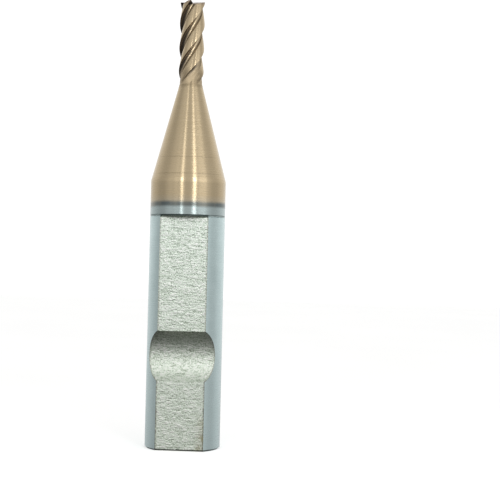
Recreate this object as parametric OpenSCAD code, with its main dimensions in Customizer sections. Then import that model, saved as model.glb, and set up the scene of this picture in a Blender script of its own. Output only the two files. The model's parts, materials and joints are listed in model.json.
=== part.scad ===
// Four-flute end mill with a brazed-on cutting head.
// The tool stands on its back face: the origin is the centre of that face, +Z runs
// along the axis to the cutting tip, and the clamping flat faces -Y. Millimetres.

/* [Shank] */
// Shank diameter, shared by the collar of the head
shank_d = 9.525; // [9:0.005:12.7]
// Back face to the brazed joint
shank_l = 29.2; // [26:0.1:60]
// Bevel on the rim of the back face
back_bevel = 0.2; // [0.1:0.05:1]
// Bevel on both rims that meet at the joint
joint_bevel = 0.08; // [0.02:0.01:0.2]

/* [Clamping flat] */
// How far the flat is cut in below the shank's round
flat_depth = 1.09; // [0.6:0.01:1.4]
// Radius left in the corner where the flat ends under the head
flat_fillet_r = 0.2; // [0.1:0.05:0.6]
// Radius of the round notch that is milled across the flat
notch_r = 4.4; // [3:0.1:6]
// Depth of the notch below the flat
notch_depth = 1.31; // [0.5:0.01:1.5]
// Height of the notch's centre above the back face
notch_z = 11.75; // [6:0.05:14]

/* [Cutting head] */
// Diameter over the cutting edges
cutter_d = 3.175; // [2.5:0.005:4]
// Length of the fluted end
flute_l = 10.1; // [6:0.1:14]
// Length along the axis of one full turn of a flute
flute_lead = 12.4; // [10:0.1:20]
// Number of flutes
flute_count = 4; // [3:1:5]
// Diameter of the plain neck behind the flutes
neck_d = 2.85; // [2.2:0.05:3.1]
// Length of the plain neck
neck_l = 0.35; // [0.2:0.05:2]
// Angle between the cone and the axis
cone_angle = 15; // [12:0.5:30]
// Length of the round collar behind the cone
collar_l = 4.4; // [2:0.1:8]

/* [Brazed joint] */
// Diameter of the spigot on the back of the head
spigot_d = 5; // [3:0.1:6]
// Length of the spigot
spigot_l = 7; // [4:0.1:9]
// Thickness of the braze between the spigot and its socket, all round
braze_gap = 0.06; // [0.03:0.01:0.12]
// Thickness of the braze between the collar and the shank
braze_ring_t = 0.12; // [0.05:0.01:0.2]
// How far the braze stays below the ground surface
braze_recess = 0.2; // [0.02:0.01:0.3]
// Space left between the end of the spigot and the floor of the socket
socket_end_gap = 0.3; // [0.1:0.1:1]

/* [Centre hole] */
// Mouth of the countersink in the back face, for grinding between centres
centre_mouth_d = 2.2; // [1.5:0.1:3]
// Diameter of the pilot hole under the countersink
centre_pilot_d = 1; // [0.6:0.1:1.4]
// Depth of the pilot hole below the back face
centre_pilot_l = 1.6; // [1.2:0.1:2.5]

/* [Hidden] */
// A round shape with this many sides stands for a true circle
$fn = 96;
// Overlap that keeps cuts and unions clean
eps = 0.02;
// How far the shapes that cut the flat and the notch reach past the shank
cut_margin = 1;
// Full angle of a twist drill's point
drill_point_angle = 118;
// Full angle of the countersink
sink_angle = 60;

shank_r = shank_d / 2;
flat_y = shank_r - flat_depth;
notch_floor = flat_y - notch_depth;
socket_r = spigot_d / 2 + braze_gap;
socket_l = spigot_l + socket_end_gap;
drill_point_l = socket_r / tan(drill_point_angle / 2);

// Heights along the tool
collar_z = shank_l + braze_ring_t;
cone_z = collar_z + collar_l;
cone_l = (shank_r - neck_d / 2) / tan(cone_angle);
neck_z = cone_z + cone_l;
flute_z = neck_z + neck_l;
tip_z = flute_z + flute_l;

// Section of a tooth, as angles behind its cutting edge and shares of the cutter's radius
cutter_r = cutter_d / 2;
tooth_pitch = 360 / flute_count;
land_angle = tooth_pitch * 0.13;
land_share = 0.97;
heel_angle = tooth_pitch * 0.57;
heel_share = 0.8;
// Depth of a flute below the line from one edge to the next heel
gullet_depth = cutter_r * 0.25;
gullet_steps = 6;
core_r = cutter_r * 0.56;
// The flutes get shallower over this length, where they run into the neck
run_out_l = 3.4;
// One layer of the twisted body for each of these degrees of turn
degrees_per_layer = 7;
// Angle of the cutting edges at the tip
tip_phase = -3;
// Gash that clears the end of each tooth
gash_depth = 0.42;
gash_w = 0.75;
gash_start = cutter_r * 0.14;

function polar(r, a) = [r * cos(a), r * sin(a)];

// Points strictly between a and b on an arc that bows to the left of the line a-b
function bowed(a, b, depth, steps) =
    let (
        half = norm(b - a) / 2,
        along = (b - a) / (2 * half),
        left = [-along[1], along[0]],
        r = (half * half + depth * depth) / (2 * depth),
        centre = (a + b) / 2 - left * (r - depth),
        from = atan2(a[1] - centre[1], a[0] - centre[0]),
        sweep = 2 * asin(half / r)
    )
    [for (i = [1 : steps - 1]) centre + polar(r, from - sweep * i / steps)];

// One tooth from heel to cutting edge, then the flute up to the next tooth
function tooth(turn) =
    let (
        heel = polar(cutter_r * heel_share, turn - heel_angle),
        land = polar(cutter_r * land_share, turn - land_angle),
        edge = polar(cutter_r, turn),
        next_heel = polar(cutter_r * heel_share, turn + tooth_pitch - heel_angle)
    )
    concat([heel, land, edge], bowed(edge, next_heel, gullet_depth, gullet_steps));

module flute_section() {
    polygon([for (k = [0 : flute_count - 1]) each tooth(k * tooth_pitch)]);
}

// Right-hand fluted body, from the neck to the tip
module fluted_body() {
    turn = 360 * flute_l / flute_lead;
    rotate([0, 0, tip_phase - turn])
        linear_extrude(height = flute_l, twist = -turn, slices = ceil(turn / degrees_per_layer))
            flute_section();
}

// Wedge cut in front of the end edge of the tooth that lies along +X
module gash() {
    translate([gash_start, 0, 0])
        rotate([90, 0, 90])
            linear_extrude(height = cutter_r)
                polygon([[0, eps], [0, -gash_depth], [gash_w, eps]]);
}

module flutes() {
    difference() {
        fluted_body();
        for (k = [0 : flute_count - 1])
            translate([0, 0, flute_l])
                rotate([0, 0, tip_phase + k * tooth_pitch])
                    gash();
    }
}

// Flat with a round-cornered end, as a solid to cut away
module flat_cut() {
    r = flat_fillet_r;
    back = -shank_r - cut_margin;
    rotate([90, 0, 90])
        linear_extrude(height = shank_d + 2 * cut_margin, center = true) {
            translate([back, -cut_margin])
                square([-flat_y - back, shank_l - r + cut_margin]);
            translate([back, -cut_margin])
                square([-flat_y - r - back, shank_l + eps + cut_margin]);
            translate([-flat_y - r, shank_l - r])
                circle(r);
        }
}

module notch_cut() {
    translate([0, -notch_floor - notch_r, notch_z])
        rotate([0, 90, 0])
            cylinder(h = shank_d + 2 * cut_margin, r = notch_r, center = true);
}

// Drilled socket with its drill point, open at the joint
module socket_cut() {
    floor_z = shank_l - socket_l;
    translate([0, 0, floor_z])
        cylinder(h = socket_l + eps, r = socket_r);
    translate([0, 0, floor_z - drill_point_l])
        cylinder(h = drill_point_l, r1 = 0, r2 = socket_r);
}

// 60 degree centre hole, open at the back face
module centre_hole_cut() {
    sink_l = (centre_mouth_d - centre_pilot_d) / 2 / tan(sink_angle / 2);
    translate([0, 0, -eps])
        cylinder(h = centre_pilot_l + eps, r = centre_pilot_d / 2);
    cylinder(h = sink_l, r1 = centre_mouth_d / 2, r2 = centre_pilot_d / 2);
}

module shank() {
    color("lightslategray")
        difference() {
            rotate_extrude()
                polygon([
                    [0, 0],
                    [shank_r - back_bevel, 0],
                    [shank_r, back_bevel],
                    [shank_r, shank_l - joint_bevel],
                    [shank_r - joint_bevel, shank_l],
                    [0, shank_l]
                ]);
            flat_cut();
            notch_cut();
            socket_cut();
            centre_hole_cut();
        }
}

// Silver solder: a sleeve round the spigot and a ring under the collar
module braze_joint() {
    color("darkgoldenrod")
        rotate_extrude()
            polygon([
                [spigot_d / 2, collar_z - spigot_l],
                [socket_r, collar_z - spigot_l],
                [socket_r, shank_l],
                [shank_r - braze_recess, shank_l],
                [shank_r - braze_recess, collar_z],
                [spigot_d / 2, collar_z]
            ]);
}

module cutting_head() {
    color("tan")
        union() {
            rotate_extrude()
                polygon([
                    [0, collar_z - spigot_l],
                    [spigot_d / 2, collar_z - spigot_l],
                    [spigot_d / 2, collar_z],
                    [shank_r - joint_bevel, collar_z],
                    [shank_r, collar_z + joint_bevel],
                    [shank_r, cone_z],
                    [neck_d / 2, neck_z],
                    [neck_d / 2, flute_z],
                    [core_r, flute_z + run_out_l],
                    [0, flute_z + run_out_l]
                ]);
            translate([0, 0, flute_z])
                flutes();
        }
}

shank();
braze_joint();
cutting_head();
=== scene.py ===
"""The looks of a four-flute end mill that stands on its back face.

The tool's axis is +Z, its clamping flat faces -Y and lengths are in metres. The shank, the
head and the braze are rebuilt here as fine meshes in the place of their CAD nodes.
"""
import json
import math

import bpy
import numpy as np
from mathutils import Matrix, Vector


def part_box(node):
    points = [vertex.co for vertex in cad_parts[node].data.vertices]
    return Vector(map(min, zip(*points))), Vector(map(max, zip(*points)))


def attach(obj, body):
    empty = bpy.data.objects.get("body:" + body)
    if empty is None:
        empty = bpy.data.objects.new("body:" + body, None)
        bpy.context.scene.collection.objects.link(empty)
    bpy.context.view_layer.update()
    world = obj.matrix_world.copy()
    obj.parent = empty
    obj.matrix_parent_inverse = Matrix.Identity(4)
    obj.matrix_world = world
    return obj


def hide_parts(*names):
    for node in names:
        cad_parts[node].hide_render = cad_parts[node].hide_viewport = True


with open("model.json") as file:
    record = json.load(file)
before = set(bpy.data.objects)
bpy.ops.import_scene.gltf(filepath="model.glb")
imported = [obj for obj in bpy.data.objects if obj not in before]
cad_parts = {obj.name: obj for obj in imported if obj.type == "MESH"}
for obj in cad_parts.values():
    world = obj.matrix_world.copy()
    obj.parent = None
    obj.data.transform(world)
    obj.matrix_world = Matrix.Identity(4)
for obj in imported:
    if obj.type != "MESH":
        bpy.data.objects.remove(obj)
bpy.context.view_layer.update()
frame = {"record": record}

MM = 0.001
mounts = {m["name"]: m for m in frame["record"]["mounts"]}

# ---------------------------------------------------------------- sizes

# Places that the frame gives
SHANK_R = mounts["shank_od"]["dims"]["r_mm"] * MM
SHANK_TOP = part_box("shank")[1].z
COLLAR_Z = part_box("braze_joint")[1].z
TIP_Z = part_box("cutting_head")[1].z
SPIGOT_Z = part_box("cutting_head")[0].z
FLAT_Y = -mounts["clamping_flat"]["pos_m"][1]
NOTCH_FLOOR = -mounts["locating_notch"]["pos_m"][1]
NOTCH_Z = mounts["locating_notch"]["pos_m"][2]

# Shank
NOTCH_R = 4.4 * MM
FLAT_FILLET = 0.2 * MM
BACK_BEVEL = 0.2 * MM
JOINT_BEVEL = 0.08 * MM
SOCKET_R = 2.56 * MM
SOCKET_L = 7.3 * MM
CENTRE_MOUTH_R = 1.1 * MM
CENTRE_PILOT_R = 0.5 * MM
CENTRE_PILOT_L = 1.6 * MM
CENTRE_SINK = math.radians(30)
# Half the height of the notch's mouth, and half the width of the flat
NOTCH_HALF = math.sqrt(NOTCH_R**2 - (NOTCH_R - (FLAT_Y - NOTCH_FLOOR)) ** 2)
FLAT_HALF = math.sqrt(SHANK_R**2 - FLAT_Y**2)

# Head
CUTTER_R = 1.5875 * MM
FLUTE_L = 10.1 * MM
FLUTE_LEAD = 12.4 * MM
FLUTES = 4
TIP_PHASE = -3
NECK_R = 1.425 * MM
NECK_L = 0.35 * MM
COLLAR_L = 4.4 * MM
SPIGOT_R = 2.5 * MM
FLUTE_Z = TIP_Z - FLUTE_L
NECK_Z = FLUTE_Z - NECK_L
CONE_Z = COLLAR_Z + COLLAR_L

# Heights on the collar where the coating ends and where the bare ground strip starts
COATING_END_Z = SHANK_TOP + 1.8 * MM
BARE_Z = SHANK_TOP + 1.18 * MM

# Braze ring, almost flush with the ground surface as in the photo: the CAD's lies deeper
BRAZE_RING_R = SHANK_R - 0.03 * MM
BRAZE_WANDER = 0.012 * MM
BRAZE_WANDER_CELL = 0.9 * MM
BRAZE_POINTS = 192

# Spacing of the rings on the shank, fine enough for the rough flat
GRAIN_STEP = 0.06 * MM

# Values along each side of a table of noise, which repeats after them
NOISE_CELLS = 256


# ---------------------------------------------------------------- mesh tools


def smooth_noise(u, v, cell, seed):
    """Smooth noise from -1 to 1 at the points (u, v), with one random value for each cell."""
    table = np.random.default_rng(seed).uniform(-1, 1, (NOISE_CELLS, NOISE_CELLS))
    a, b = u / cell, v / cell
    i, j = np.floor(a).astype(int), np.floor(b).astype(int)
    s, t = a - i, b - j
    s, t = s * s * (3 - 2 * s), t * t * (3 - 2 * t)

    def at(p, q):
        return table[p % NOISE_CELLS, q % NOISE_CELLS]

    low = at(i, j) * (1 - s) + at(i + 1, j) * s
    high = at(i, j + 1) * (1 - s) + at(i + 1, j + 1) * s
    return low * (1 - t) + high * t


def ring(radius, z, angles):
    return np.stack([radius * np.cos(angles), radius * np.sin(angles), np.full_like(angles, z)], 1)


def spaced(start, end, step):
    """Values from start to end, end left out, no further apart than step."""
    count = max(1, math.ceil(abs(end - start) / step))
    return list(np.linspace(start, end, count, endpoint=False))


def store(piece, name, values):
    """Give each point of the mesh a value that its materials can read."""
    piece.data.attributes.new(name, "FLOAT", "POINT").data.foreach_set("value", values)


def skin(name, rings, sharp_columns=(), sharp_rings=(), loop=False):
    """A closed mesh over rings of equally many points. A point closes each end, or the rings
    are joined in a loop."""
    rings = np.array(rings)
    rows, columns = rings.shape[:2]
    verts = rings.reshape(-1, 3)
    i, j = np.meshgrid(np.arange(rows if loop else rows - 1), np.arange(columns), indexing="ij")
    a, b = i * columns + j, i * columns + (j + 1) % columns
    c, d = (b + columns) % len(verts), (a + columns) % len(verts)
    faces = np.stack([a, b, c, d], -1).reshape(-1, 4).tolist()
    foot, top, end = rows * columns, rows * columns + 1, (rows - 1) * columns
    if not loop:
        verts = np.vstack([verts, rings[0].mean(0), rings[-1].mean(0)])
        faces += [(foot, (k + 1) % columns, k) for k in range(columns)]
        faces += [(top, end + k, end + (k + 1) % columns) for k in range(columns)]
    mesh = bpy.data.meshes.new(name)
    mesh.from_pydata(verts.tolist(), [], faces)
    mesh.shade_smooth()
    pairs = np.array([e.vertices[:] for e in mesh.edges])
    low, high = pairs.min(1), pairs.max(1)
    on_grid = high < foot
    row_a, row_b = low // columns, high // columns
    col_a, col_b = low % columns, high % columns
    along = on_grid & (row_a != row_b) & (col_a == col_b) & np.isin(col_a, list(sharp_columns))
    around = on_grid & (row_a == row_b) & np.isin(row_a, list(sharp_rings))
    mesh.attributes.new("sharp_edge", "BOOLEAN", "EDGE").data.foreach_set("value", along | around)
    piece = bpy.data.objects.new(name, mesh)
    bpy.context.scene.collection.objects.link(piece)
    return piece


# ---------------------------------------------------------------- shank

CHORD_POINTS = 100
ARC_POINTS = 96
ERODED_HEIGHT = 0.011 * MM
# Material slot of the flat and the notch
ERODED_SLOT = 1


def shank_outline_r(z):
    """Radius of the shank's round at height z, bevels included."""
    from_back, from_top = z, SHANK_TOP - z
    return SHANK_R - max(0, BACK_BEVEL - from_back) - max(0, JOINT_BEVEL - from_top)


def flat_distance(z):
    """Distance from the axis to the flat at height z, with the notch and the end fillet."""
    off = abs(z - NOTCH_Z)
    centre = NOTCH_FLOOR + NOTCH_R
    distance = FLAT_Y
    if off < NOTCH_R:
        distance = min(distance, centre - math.sqrt(NOTCH_R**2 - off**2))
    rise = z - (SHANK_TOP - FLAT_FILLET)
    if rise > 0:
        distance = FLAT_Y + FLAT_FILLET - math.sqrt(max(0, FLAT_FILLET**2 - rise**2))
    return distance - max(0, BACK_BEVEL - z)


def eroded(x, z):
    """Height of the spark-eroded skin of the flat at (x, z)."""
    craters = smooth_noise(x, z, 0.10 * MM, 11) * 0.6 + smooth_noise(x, z, 0.17 * MM, 12) * 0.8
    passes = smooth_noise(x, z, 0.45 * MM, 13) * 0.35
    lines = smooth_noise(x * 0.12, z, 0.13 * MM, 14) * 0.45
    return (craters + passes + lines) * ERODED_HEIGHT


def shank_section(z):
    """One ring round the shank: the flat from left to right, then the round back to its start."""
    radius, distance = shank_outline_r(z), flat_distance(z)
    corner = math.acos(distance / radius)
    half = radius * math.sin(corner)
    t = np.arange(CHORD_POINTS + 1) / CHORD_POINTS
    x = half * (2 * t - 1)
    # The skin thins out towards both edges of the flat
    edge = np.clip(np.minimum(t, 1 - t) * 14, 0.25, 1)
    y = -distance + eroded(x, np.full_like(x, z)) * edge
    chord = np.stack([x, y, np.full_like(x, z)], 1)
    start = -math.pi / 2 + corner
    turn = 2 * (math.pi - corner)
    angles = start + turn * np.arange(1, ARC_POINTS) / ARC_POINTS
    return np.vstack([chord, ring(radius, z, angles)])


def circle_section(radius, z):
    """A ring of the same number of points as shank_section, on a circle."""
    corner = math.acos(FLAT_Y / SHANK_R)
    across = -math.pi / 2 + corner * (2 * np.arange(CHORD_POINTS + 1) / CHORD_POINTS - 1)
    start = -math.pi / 2 + corner
    around = start + 2 * (math.pi - corner) * np.arange(1, ARC_POINTS) / ARC_POINTS
    return ring(radius, z, np.concatenate([across, around]))


def is_eroded(face):
    """True on the flat and in the notch, false on the ground round and the ends."""
    centre = face.center
    faces_front = abs(face.normal.y + 1) < 0.9 and centre.y < -NOTCH_FLOOR * 0.98
    inside = math.hypot(centre.x, centre.y) < shank_outline_r(centre.z) - 0.004 * MM
    return faces_front and inside and 0 < centre.z < SHANK_TOP


def make_shank():
    stops = [
        0,
        BACK_BEVEL,
        NOTCH_Z - NOTCH_HALF,
        NOTCH_Z + NOTCH_HALF,
        SHANK_TOP - FLAT_FILLET,
        SHANK_TOP - JOINT_BEVEL,
        SHANK_TOP,
    ]
    sink_l = (CENTRE_MOUTH_R - CENTRE_PILOT_R) / math.tan(CENTRE_SINK)
    rings = [
        circle_section(CENTRE_PILOT_R, CENTRE_PILOT_L),
        circle_section(CENTRE_PILOT_R, sink_l),
        circle_section(CENTRE_MOUTH_R, 0),
    ]
    sharp = [0, 1, 2]
    for start, end in zip(stops, stops[1:]):
        sharp.append(len(rings))
        rings += [shank_section(z) for z in spaced(start, end, GRAIN_STEP)]
    sharp += [len(rings), len(rings) + 1, len(rings) + 2]
    rings += [
        shank_section(SHANK_TOP),
        circle_section(SOCKET_R, SHANK_TOP),
        circle_section(SOCKET_R, SHANK_TOP - SOCKET_L),
    ]
    piece = skin("shank_body", rings, [0, CHORD_POINTS], sharp)
    # How far each point lies from the nearer side edge of the flat or notch
    x = np.abs(np.array(rings)[:, :, 0])
    store(piece, "from_edge", np.append(x[:, :1] - x, [0, 0]))
    for face in piece.data.polygons:
        if is_eroded(face):
            face.material_index = ERODED_SLOT
    return piece


# ---------------------------------------------------------------- cutting head

BACK_POINTS = 20
GULLET_POINTS = 22
TOOTH_PITCH = 2 * math.pi / FLUTES
LAND_ANGLE = TOOTH_PITCH * 0.13
LAND_SHARE = 0.97
HEEL_ANGLE = TOOTH_PITCH * 0.57
HEEL_SHARE = 0.80
GULLET_DEPTH = 0.25
LAYER_STEP = 0.05 * MM
# Spacing of the rings on the plain parts, and how far above the joint the first one lies
PLAIN_STEP = 0.4 * MM
PLAIN_START = 0.2 * MM
# The flutes start just below the neck and reach their full depth over this length
RUN_OUT_Z = NECK_Z - 0.15 * MM
RUN_OUT_L = 3.9 * MM
# The lands rise from the neck over this length, which starts this far below the fluted end
STEP_L = 0.8 * MM
STEP_BELOW = 0.2 * MM
# End teeth: a narrow first relief, a steeper second one and a slight dish to the centre
END_RELIEF_W = 0.25 * MM
END_RELIEF = math.tan(math.radians(9))
END_CLEARANCE = math.tan(math.radians(29))
END_DISH = math.tan(math.radians(2))
END_BLEND_L = 1.5 * MM
# Rings across the end face, as shares of the way out from the axis
END_SHARES = (1, 0.9, 0.8, 0.7, 0.6, 0.5, 0.4, 0.3, 0.2, 0.1, 0.04)
# Edges of the head that turn by more than this stay sharp
HEAD_SHARP_ANGLE = math.radians(16)
# Turned marks on the cone, as heights above its foot, and their width and depth
CONE_MARKS = (0.78 * MM, 2.9 * MM)
MARK_W = 0.07 * MM
MARK_DEPTH = 0.012 * MM
# Material slots of the backs of the teeth and of the flutes
LAND_SLOT, FLUTE_SLOT = 1, 2
# Part of a flute, from the edge on, where shade is painted into its colour
PAINTED_SHADE_SHARE = 0.62


def polar(radius, angle):
    return np.stack([radius * np.cos(angle), radius * np.sin(angle)], -1)


def bowed_points(a, b, depth, count):
    """Points from a towards b, b left out, on an arc that bows to the left of the line."""
    half = np.linalg.norm(b - a) / 2
    along = (b - a) / (2 * half)
    left = np.array([-along[1], along[0]])
    radius = (half**2 + depth**2) / (2 * depth)
    centre = (a + b) / 2 - left * (radius - depth)
    start = math.atan2(*(a - centre)[::-1])
    sweep = 2 * math.asin(half / radius)
    return centre + polar(radius, start - sweep * np.arange(count) / count)


def back_share(behind):
    """Share of the cutter's radius at this angle behind a cutting edge, on the tooth's back."""
    land_fall = (1 - LAND_SHARE) / LAND_ANGLE
    heel_fall = (1 - HEEL_SHARE) / HEEL_ANGLE
    bend = (heel_fall - land_fall) / (HEEL_ANGLE - LAND_ANGLE)
    return 1 - behind * (land_fall + bend * (behind - LAND_ANGLE))


def fluted_outline():
    """The cutter's section at radius 1 from the first heel on, and each point's angle to the edge
    that it lies behind."""
    points, behind = [], []
    for k in range(FLUTES):
        turn = k * TOOTH_PITCH
        back = HEEL_ANGLE * (1 - np.arange(BACK_POINTS) / BACK_POINTS)
        next_heel = polar(HEEL_SHARE, turn + TOOTH_PITCH - HEEL_ANGLE)
        gullet = bowed_points(polar(1, turn), next_heel, GULLET_DEPTH, GULLET_POINTS)
        ahead = np.arctan2(gullet[:, 1], gullet[:, 0]) - turn
        ahead = (ahead + math.pi) % (2 * math.pi) - math.pi
        points += [polar(back_share(back), turn - back), gullet]
        behind += [back, np.where(np.arange(GULLET_POINTS) == 0, 0, TOOTH_PITCH - ahead)]
    return np.vstack(points), np.concatenate(behind)


def ease(t):
    t = np.clip(t, 0, 1)
    return t * t * (3 - 2 * t)


def end_drop(radius, behind):
    """How far the end face lies below the tip at a radius and an angle behind a cutting edge."""
    off = radius * np.sin(behind)
    relief = np.minimum(off, END_RELIEF_W) * END_RELIEF
    clearance = np.maximum(0, off - END_RELIEF_W) * END_CLEARANCE
    return relief + clearance + (CUTTER_R - radius) * END_DISH


def mark_flutes(head, heights):
    """Tell the materials where the flutes are. The heights are those of the points on rings."""
    tooth_points = BACK_POINTS + GULLET_POINTS
    teeth = len(heights) // tooth_points
    # Painted shade in a flute: 1 on the rake face, by the edge, down to 0
    along = np.arange(GULLET_POINTS) / GULLET_POINTS
    painted_shade = np.concatenate([np.zeros(BACK_POINTS), np.clip((PAINTED_SHADE_SHARE - along) * 4, 0, 1)])
    full = np.clip((heights - RUN_OUT_Z) / RUN_OUT_L * 2.2 - 0.3, 0, 1)
    wall_shade = np.zeros(len(head.data.vertices))
    wall_shade[: len(heights)] = np.tile(painted_shade, teeth) * full
    store(head, "flute_wall", wall_shade)
    in_flute = np.tile(np.arange(tooth_points) >= BACK_POINTS, teeth)
    for face in head.data.polygons:
        if face.center.z > RUN_OUT_Z:
            first = face.vertices[0]
            fluted = first < len(in_flute) and in_flute[first]
            face.material_index = FLUTE_SLOT if fluted else LAND_SLOT


def make_head():
    outline, behind = fluted_outline()
    radii = np.hypot(outline[:, 0], outline[:, 1]) * CUTTER_R
    angles = np.unwrap(np.arctan2(outline[:, 1], outline[:, 0]))
    even = -HEEL_ANGLE + 2 * math.pi * np.arange(len(outline)) / len(outline)
    rim_drop = end_drop(radii, behind)

    def twist(z):
        return math.radians(TIP_PHASE) + (z - TIP_Z) / FLUTE_LEAD * 2 * math.pi

    def cone_r(z):
        return SHANK_R + (NECK_R - SHANK_R) * (z - CONE_Z) / (NECK_Z - CONE_Z)

    def layer(z):
        """The section at height z: it turns with the helix and drops to meet the end teeth."""
        z = z - rim_drop * ease((z - TIP_Z + END_BLEND_L) / END_BLEND_L)
        plain = np.maximum(NECK_R, cone_r(z))
        depth = ease((z - RUN_OUT_Z) / RUN_OUT_L)
        rise = ease((z - FLUTE_Z + STEP_BELOW) / STEP_L)
        radius = plain + (radii - plain) * np.where(radii > NECK_R, rise, depth)
        angle = angles + (even - angles) * (1 - depth) + twist(z)
        return np.stack([radius * np.cos(angle), radius * np.sin(angle), z], 1)

    def round_at(radius, z):
        return ring(radius, z, even + twist(RUN_OUT_Z))

    rings = [
        round_at(SPIGOT_R, SPIGOT_Z),
        round_at(SPIGOT_R, COLLAR_Z),
        round_at(SHANK_R - JOINT_BEVEL, COLLAR_Z),
        round_at(SHANK_R, COLLAR_Z + JOINT_BEVEL),
    ]
    rings += [round_at(SHANK_R, z) for z in spaced(COLLAR_Z + PLAIN_START, CONE_Z, PLAIN_STEP)]
    start = CONE_Z
    for mark in CONE_MARKS:
        middle = CONE_Z + mark
        below = middle - MARK_W / 2
        rings += [round_at(cone_r(z), z) for z in spaced(start, below, PLAIN_STEP)]
        rings.append(round_at(cone_r(below), below))
        rings.append(round_at(cone_r(middle) - MARK_DEPTH, middle))
        start = middle + MARK_W / 2
    rings += [round_at(cone_r(z), z) for z in spaced(start, RUN_OUT_Z, PLAIN_STEP)]
    rings += [layer(z) for z in spaced(RUN_OUT_Z, TIP_Z, LAYER_STEP)]
    for share in END_SHARES:
        radius = radii * share
        angle = angles + twist(TIP_Z - rim_drop)
        z = TIP_Z - end_drop(radius, behind)
        rings.append(np.stack([radius * np.cos(angle), radius * np.sin(angle), z], 1))
    head = skin("head_body", rings)
    mark_flutes(head, np.array(rings)[:, :, 2].ravel())
    return head


def make_braze():
    """The sleeve of solder round the spigot and the thin ring under the collar."""
    angles = 2 * math.pi * np.arange(BRAZE_POINTS) / BRAZE_POINTS
    wander = smooth_noise(angles * SHANK_R, np.zeros_like(angles), BRAZE_WANDER_CELL, 21)
    ring_r = BRAZE_RING_R + wander * BRAZE_WANDER
    section = [
        (SPIGOT_R, SPIGOT_Z),
        (SOCKET_R, SPIGOT_Z),
        (SOCKET_R, SHANK_TOP),
        (ring_r, SHANK_TOP),
        (ring_r, COLLAR_Z),
        (SPIGOT_R, COLLAR_Z),
    ]
    rings = [ring(radius, z, angles) for radius, z in section]
    return skin("braze_body", rings, (), range(len(rings)), loop=True)


# ---------------------------------------------------------------- materials


class Shader:
    """A node material under construction."""

    def __init__(self, name):
        self.material = bpy.data.materials.new(name)
        self.material.use_nodes = True
        self.tree = self.material.node_tree
        self.tree.nodes.clear()
        self.output = self.tree.nodes.new("ShaderNodeOutputMaterial")

    def node(self, kind, inputs=None, **settings):
        made = self.tree.nodes.new("ShaderNode" + kind)
        for key, value in settings.items():
            setattr(made, key, value)
        for key, value in (inputs or {}).items():
            if isinstance(value, bpy.types.NodeSocket):
                self.tree.links.new(value, made.inputs[key])
            else:
                made.inputs[key].default_value = value
        return made

    def link(self, source, target):
        self.tree.links.new(source, target)

    def place(self):
        return self.node("TexCoord").outputs["Object"]

    def stretched(self, scale):
        """Object coordinates, multiplied by scale along each axis."""
        return self.node("Mapping", {"Vector": self.place(), "Scale": scale}).outputs["Vector"]

    def noise(self, scale, detail=4, roughness=0.5, distortion=0):
        inputs = {
            "Vector": self.stretched(scale),
            "Scale": 1,
            "Detail": detail,
            "Roughness": roughness,
            "Distortion": distortion,
        }
        return self.node("TexNoise", inputs).outputs["Fac"]

    def ramp(self, fac, stops):
        made = self.node("ValToRGB", {"Fac": fac})
        elements = made.color_ramp.elements
        while len(elements) < len(stops):
            elements.new(0.5)
        for element, (position, colour) in zip(elements, stops):
            element.position = position
            element.color = (*colour, 1)
        return made.outputs["Color"]

    def span(self, value, low, high, to_low=0.0, to_high=1.0):
        inputs = {"Value": value, 1: low, 2: high, 3: to_low, 4: to_high}
        return self.node("MapRange", inputs).outputs["Result"]

    def maths(self, operation, *values):
        return self.node("Math", dict(enumerate(values)), operation=operation).outputs["Value"]

    def mix(self, fac, a, b, blend_type="MIX"):
        made = self.node("Mix", data_type="RGBA", blend_type=blend_type)
        for index, value in ((0, fac), (6, a), (7, b)):
            if isinstance(value, bpy.types.NodeSocket):
                self.link(value, made.inputs[index])
            else:
                made.inputs[index].default_value = value if index == 0 else (*value, 1)
        return made.outputs[2]

    def bump(self, height, distance):
        inputs = {"Height": height, "Distance": distance, "Strength": 1}
        return self.node("Bump", inputs).outputs["Normal"]

    def finish(self, inputs):
        surface = self.node("BsdfPrincipled", inputs)
        self.link(surface.outputs["BSDF"], self.output.inputs["Surface"])
        return self.material


PER_MM = 1 / MM


def height_of(shader):
    split = shader.node("SeparateXYZ", {"Vector": shader.place()})
    return split.outputs["Z"]


def round_tangent(shader):
    return shader.node("Tangent", direction_type="RADIAL", axis="Z").outputs["Tangent"]


def ground_steel():
    """Cylindrically ground steel: fine marks round the axis, faint mottling."""
    s = Shader("ground_steel")
    marks = s.noise((0.25 * PER_MM, 0.25 * PER_MM, 22 * PER_MM), 6, 0.6)
    mottle = s.noise((0.5 * PER_MM,) * 3, 4, 0.6)
    colour = s.ramp(mottle, [(0.3, (0.60, 0.735, 0.735)), (0.7, (0.67, 0.81, 0.81))])
    # A little brighter towards the back
    brighter_to_back = s.span(height_of(s), 0, 20 * MM, 0.6, 0.0)
    colour = s.mix(brighter_to_back, colour, (0.80, 0.955, 0.955))
    rough = s.span(marks, 0.3, 0.7, 0.24, 0.36)
    return s.finish({
        "Base Color": colour,
        "Metallic": 1,
        "Roughness": rough,
        "Anisotropic": 0.7,
        "Anisotropic Rotation": 0.25,
        "Tangent": round_tangent(s),
        "Normal": s.bump(marks, 0.0006 * MM),
    })


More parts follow.
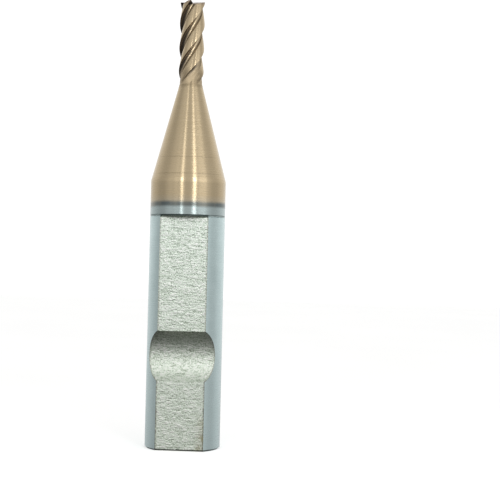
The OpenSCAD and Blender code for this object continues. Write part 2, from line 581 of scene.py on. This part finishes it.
def eroded_steel():
    """Spark-eroded steel: a matt crust of pale grains and dark pits, with painted shade towards
    the back.
    """
    s = Shader("eroded_steel")
    grain = s.noise((6 * PER_MM, 6 * PER_MM, 7.5 * PER_MM), 2, 0.6)
    lines = s.noise((1.5 * PER_MM, 1.5 * PER_MM, 5.3 * PER_MM), 2, 0.5, 0.6)
    fac = s.maths("ADD", s.maths("MULTIPLY", grain, 0.6), s.maths("MULTIPLY", lines, 0.4))
    pits, crust, grains = (0.40, 0.465, 0.385), (0.86, 0.96, 0.85), (1.0, 1.0, 0.98)
    colour = s.ramp(fac, [(0.38, pits), (0.5, crust), (0.6, grains)])
    split = s.node("SeparateXYZ", {"Vector": s.place()})
    x, z = split.outputs["X"], split.outputs["Z"]
    # Painted shade: darker towards the back, for the lights' falloff along the tool
    painted_falloff_shade = s.span(z, 2 * MM, SHANK_TOP - 1 * MM, 0.2, 0.0)
    colour = s.mix(painted_falloff_shade, colour, (0.72, 0.74, 0.58))
    # Painted shadow in the notch, most of it at the top
    painted_notch_shadow = s.span(z, NOTCH_Z + 0.3 * MM, NOTCH_Z + NOTCH_HALF, 0.1, 0.45)
    painted_notch_shadow = s.maths("MULTIPLY", painted_notch_shadow, s.maths("LESS_THAN", z, NOTCH_Z + NOTCH_HALF))
    painted_notch_shadow = s.maths("MULTIPLY", painted_notch_shadow, s.span(z, NOTCH_Z - NOTCH_HALF, NOTCH_Z - 0.6 * NOTCH_HALF))
    colour = s.mix(painted_notch_shadow, colour, (0.22, 0.21, 0.17))
    # Painted shade along both edges, and a brown stain by the right edge near the back
    from_edge = s.node("Attribute", attribute_name="from_edge").outputs["Fac"]
    patchy = s.span(s.noise((1.1 * PER_MM, 1.1 * PER_MM, 0.7 * PER_MM), 3, 0.6), 0.42, 0.62)
    ragged = s.maths("ADD", from_edge, s.span(lines, 0.3, 0.7, 0.11 * MM, -0.11 * MM))
    painted_edge_shade = s.span(ragged, 0.04 * MM, 0.18 * MM, 1.0, 0.0)
    painted_edge_shade = s.maths("MULTIPLY", painted_edge_shade, s.span(z, 1 * MM, 14 * MM, 0.95, 0.5))
    colour = s.mix(painted_edge_shade, colour, (0.16, 0.16, 0.13))
    low = s.span(z, 0.8 * MM, 5.0 * MM, 1.0, 0.0)
    right = s.span(x, 0.0, 0.1 * MM)
    near = s.maths("MULTIPLY", right, s.span(from_edge, 0.1 * MM, 1.3 * MM, 1.0, 0.0))
    stain = s.maths("MULTIPLY", s.maths("MULTIPLY", low, near), s.maths("ADD", patchy, 0.35))
    colour = s.mix(s.maths("MULTIPLY", stain, 0.85), colour, (0.36, 0.33, 0.2))
    return s.finish({
        "Base Color": colour,
        "Metallic": 1,
        "Roughness": 0.52,
        "Normal": s.bump(fac, 0.075 * MM),
    })


def neck_roughness(shader, z):
    """The neck and the end of the flutes are ground less finely than the rest of the head."""
    below = shader.span(z, NECK_Z - 1.4 * MM, NECK_Z - 0.3 * MM)
    above = shader.span(z, FLUTE_Z + 0.9 * MM, FLUTE_Z + 2.2 * MM, 1.0, 0.0)
    return shader.maths("MULTIPLY", shader.maths("MULTIPLY", below, above), 0.48)


def head_coating():
    """Bronze hard coating that ends in a dark heat band, with bare ground metal behind it."""
    s = Shader("head_coating")
    z = height_of(s)
    marks = s.noise((0.2 * PER_MM, 0.2 * PER_MM, 16 * PER_MM), 6, 0.6)
    wander = s.noise((0.35 * PER_MM, 0.35 * PER_MM, 0.1 * PER_MM), 3, 0.5)
    level = s.maths("ADD", z, s.span(wander, 0.3, 0.7, -0.06 * MM, 0.06 * MM))
    bronze = s.ramp(marks, [(0.3, (0.53, 0.42, 0.265)), (0.7, (0.64, 0.52, 0.34))])
    dark = s.mix(s.span(wander, 0.38, 0.62), (0.165, 0.195, 0.195), (0.30, 0.30, 0.26))
    bare = s.ramp(marks, [(0.3, (0.43, 0.51, 0.505)), (0.7, (0.50, 0.585, 0.58))])
    pale = s.span(level, COATING_END_Z, COATING_END_Z + 0.9 * MM, 0.45, 0.0)
    coating = s.mix(pale, bronze, (0.52, 0.49, 0.41))
    coated = s.span(level, COATING_END_Z - 0.2 * MM, COATING_END_Z + 0.16 * MM)
    banded = s.span(level, BARE_Z - 0.16 * MM, BARE_Z + 0.16 * MM)
    colour = s.mix(coated, s.mix(banded, bare, dark), coating)
    rough = s.span(marks, 0.3, 0.7, 0.22, 0.34)
    return s.finish({
        "Base Color": colour,
        "Metallic": 1,
        "Roughness": s.maths("MAXIMUM", rough, neck_roughness(s, z)),
        "Anisotropic": 0.9,
        "Anisotropic Rotation": 0.25,
        "Tangent": round_tangent(s),
        "Normal": s.bump(marks, 0.0006 * MM),
    })


def cutter_coating(name, in_flute):
    """The same coating on the cutter: ground round the axis on the backs of the teeth, and along
    the helix in the flutes, where shade is painted on the walls by the edge."""
    s = Shader(name)
    place = s.place()
    z = s.node("SeparateXYZ", {"Vector": place}).outputs["Z"]
    turn = s.maths("MULTIPLY", z, -2 * math.pi / FLUTE_LEAD)
    straight = s.node("VectorRotate", {"Vector": place, "Angle": turn}, rotation_type="Z_AXIS")
    fine = (14, 14, 0.5) if in_flute else (1, 1, 22)
    along = s.node("Mapping", {
        "Vector": straight.outputs["Vector"],
        "Scale": tuple(value * PER_MM for value in fine),
    })
    marks = s.node("TexNoise", {
        "Vector": along.outputs["Vector"],
        "Scale": 1,
        "Detail": 3,
        "Roughness": 0.5,
    }).outputs["Fac"]
    colour = s.ramp(marks, [(0.3, (0.49, 0.385, 0.245)), (0.7, (0.58, 0.47, 0.31))])
    # Painted shade at the tip, where its end facets lie dark
    painted_tip_shade = s.span(z, TIP_Z - 0.6 * MM, TIP_Z - 0.1 * MM, 0.0, 0.7)
    colour = s.mix(painted_tip_shade, colour, (0.21, 0.16, 0.145))
    rough = s.span(marks, 0.3, 0.7, 0.19, 0.26)
    inputs = {
        "Metallic": 0.8 if in_flute else 1,
        "Roughness": s.maths("MAXIMUM", rough, neck_roughness(s, z)),
        "Normal": s.bump(marks, 0.0004 * MM),
    }
    if in_flute:
        # Painted shade on the flute walls by the edge
        wall_shade = s.node("Attribute", attribute_name="flute_wall").outputs["Fac"]
        inputs["Base Color"] = s.mix(s.maths("MULTIPLY", wall_shade, 0.9), colour, (0.15, 0.125, 0.105))
    else:
        inputs["Base Color"] = colour
        inputs["Anisotropic"] = 0.85
        inputs["Anisotropic Rotation"] = 0.25
        inputs["Tangent"] = round_tangent(s)
    return s.finish(inputs)


def solder():
    """Silver solder: ground with the round, painted black over the flat as the collar's shadow."""
    s = Shader("solder")
    grain = s.noise((3 * PER_MM,) * 3, 4, 0.6)
    ground = s.ramp(grain, [(0.35, (0.36, 0.42, 0.41)), (0.65, (0.48, 0.56, 0.55))])
    split = s.node("SeparateXYZ", {"Vector": s.place()})
    off_axis = s.maths("ABSOLUTE", split.outputs["X"])
    across = s.span(off_axis, FLAT_HALF - 0.1 * MM, FLAT_HALF + 0.1 * MM, 1.0, 0.0)
    front = s.span(split.outputs["Y"], -1 * MM, 0, 1.0, 0.0)
    # Painted shadow of the collar: black over the flat
    painted_collar_shadow = s.maths("MULTIPLY", across, front)
    colour = s.mix(painted_collar_shadow, ground, (0.07, 0.09, 0.085))
    return s.finish({"Base Color": colour, "Metallic": 1, "Roughness": 0.35})


def pale_floor():
    s = Shader("pale_floor")
    grain = s.noise((0.02 * PER_MM,) * 3, 2)
    colour = s.ramp(grain, [(0.4, (0.90, 0.90, 0.89)), (0.6, (0.92, 0.92, 0.91))])
    return s.finish({
        "Base Color": colour,
        "Roughness": 0.9,
        "Emission Color": (1, 1, 1, 1),
        "Emission Strength": 0.42,
    })


# ---------------------------------------------------------------- the pieces

shank = make_shank()
shank.data.materials.append(ground_steel())
shank.data.materials.append(eroded_steel())
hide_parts("shank")
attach(shank, "root")

head = make_head()
head.data.set_sharp_from_angle(angle=HEAD_SHARP_ANGLE)
head.data.materials.append(head_coating())
head.data.materials.append(cutter_coating("land_coating", False))
head.data.materials.append(cutter_coating("flute_coating", True))
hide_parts("cutting_head")
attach(head, "root")

braze = make_braze()
braze.data.materials.append(solder())
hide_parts("braze_joint")
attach(braze, "root")

# ---------------------------------------------------------------- stage

# Brightness of the studio by height (down to up), by depth (in front to behind) and by side
# (left to right), each from 0 to 1
WORLD_STRENGTH = 1.1
WORLD_BY_HEIGHT = [
    (0.0, 0.02),
    (0.18, 0.05),
    (0.33, 0.16),
    (0.42, 0.45),
    (0.5, 0.88),
    (0.58, 1.0),
    (0.71, 0.98),
    (0.885, 0.62),
    (1.0, 0.4),
]
WORLD_BY_DEPTH = [(0.0, 0.85), (0.235, 1.0), (0.41, 0.66), (0.57, 0.64), (0.72, 0.8), (1.0, 1.0)]
WORLD_BY_SIDE = [(0.0, 0.88), (0.5, 0.96), (1.0, 1.06)]
FLOOR_HALF = 0.6


def make_floor():
    half = FLOOR_HALF
    mesh = bpy.data.meshes.new("floor")
    corners = [(-half, -half, 0), (half, -half, 0), (half, half, 0), (-half, half, 0)]
    mesh.from_pydata(corners, [], [(0, 1, 2, 3)])
    mesh.materials.append(pale_floor())
    floor = bpy.data.objects.new("floor", mesh)
    bpy.context.scene.collection.objects.link(floor)
    # The floor is only seen and shadowed: the dim lower half of the world lights the metal
    floor.visible_glossy = floor.visible_diffuse = False


# Soft lights round the head: name, azimuth, size across and up, power
LIGHTS = [
    ("key_right", 19, (0.02, 0.03), 0.021),
    ("fill_right", 44, (0.06, 0.03), 0.009),
    ("key_left", -19.5, (0.014, 0.03), 0.0126),
    ("fill_left", -36, (0.03, 0.03), 0.002),
]
LIGHTS_AIM_Z = 44 * MM
LIGHTS_ELEVATION = 12
LIGHTS_DISTANCE = 0.13
CAMERA_AZIMUTH = 6.54
CAMERA_DISTANCE = 153.0 * MM
CAMERA_HEIGHT = 23.5 * MM
CAMERA_LENS = 86.4
# How far the camera looks to the right of the tool, up, and leans
CAMERA_PAN = 3.01
CAMERA_PITCH = 0.64
CAMERA_ROLL = 1.37


def make_camera():
    data = bpy.data.cameras.new("camera")
    data.lens = CAMERA_LENS
    data.sensor_width = 36
    data.clip_start, data.clip_end = 0.01, 10
    camera = bpy.data.objects.new("camera", data)
    azimuth = math.radians(CAMERA_AZIMUTH)
    camera.location = (
        CAMERA_DISTANCE * math.sin(azimuth),
        -CAMERA_DISTANCE * math.cos(azimuth),
        CAMERA_HEIGHT,
    )
    heading = Matrix.Rotation(math.radians(CAMERA_AZIMUTH - CAMERA_PAN), 3, "Z")
    level = Matrix.Rotation(math.radians(90 + CAMERA_PITCH), 3, "X")
    lean = Matrix.Rotation(math.radians(CAMERA_ROLL), 3, "Z")
    camera.rotation_euler = (heading @ level @ lean).to_euler()
    bpy.context.scene.collection.objects.link(camera)
    bpy.context.scene.camera = camera


def soft_light(name, azimuth, size, power):
    """An area light that faces the head. Azimuth 0 is the camera's side, and + is to its right."""
    a = math.radians(azimuth + CAMERA_AZIMUTH)
    e = math.radians(LIGHTS_ELEVATION)
    out = Vector((math.sin(a) * math.cos(e), -math.cos(a) * math.cos(e), math.sin(e)))
    data = bpy.data.lights.new(name, "AREA")
    data.shape = "RECTANGLE"
    data.size, data.size_y = size
    data.energy = power
    light = bpy.data.objects.new(name, data)
    light.location = Vector((0, 0, LIGHTS_AIM_Z)) + out * LIGHTS_DISTANCE
    light.rotation_mode = "QUATERNION"
    light.rotation_quaternion = out.to_track_quat("Z", "Y")
    light.visible_camera = False
    bpy.context.scene.collection.objects.link(light)


def make_world():
    """White for the camera; for the metal, bright above and behind the tool and dim below it."""
    world = bpy.data.worlds.new("studio")
    world.use_nodes = True
    tree = world.node_tree
    tree.nodes.clear()
    join = tree.links.new

    def new(kind):
        return tree.nodes.new("ShaderNode" + kind)

    def levels(value, stops):
        reach, ramp = new("MapRange"), new("ValToRGB")
        reach.inputs["From Min"].default_value = -1
        elements = ramp.color_ramp.elements
        while len(elements) < len(stops):
            elements.new(0.5)
        for element, (position, level) in zip(elements, stops):
            element.position = position
            element.color = (level, level, level, 1)
        join(value, reach.inputs["Value"])
        join(reach.outputs["Result"], ramp.inputs["Fac"])
        return ramp.outputs["Color"]

    place, turn, split = new("TexCoord"), new("Mapping"), new("SeparateXYZ")
    turn.vector_type = "VECTOR"
    turn.inputs["Rotation"].default_value = (0, 0, -math.radians(CAMERA_AZIMUTH))
    join(place.outputs["Generated"], turn.inputs["Vector"])
    join(turn.outputs["Vector"], split.inputs["Vector"])
    by_height = levels(split.outputs["Z"], WORLD_BY_HEIGHT)
    by_depth = levels(split.outputs["Y"], WORLD_BY_DEPTH)
    by_side = levels(split.outputs["X"], WORLD_BY_SIDE)
    around, both, seen, path = new("Mix"), new("Mix"), new("Mix"), new("LightPath")
    around.data_type = both.data_type = seen.data_type = "RGBA"
    around.blend_type = both.blend_type = "MULTIPLY"
    around.inputs[0].default_value = both.inputs[0].default_value = 1
    join(by_side, around.inputs[6])
    join(by_depth, around.inputs[7])
    join(by_height, both.inputs[6])
    join(around.outputs[2], both.inputs[7])
    join(path.outputs["Is Camera Ray"], seen.inputs[0])
    join(both.outputs[2], seen.inputs[6])
    seen.inputs[7].default_value = (1, 1, 1, 1)
    back, out = new("Background"), new("OutputWorld")
    back.inputs["Strength"].default_value = WORLD_STRENGTH
    join(seen.outputs[2], back.inputs["Color"])
    join(back.outputs["Background"], out.inputs["Surface"])
    bpy.context.scene.world = world


make_floor()
make_camera()
make_world()
for light in LIGHTS:
    soft_light(*light)

bpy.context.scene.view_settings.view_transform = "Standard"
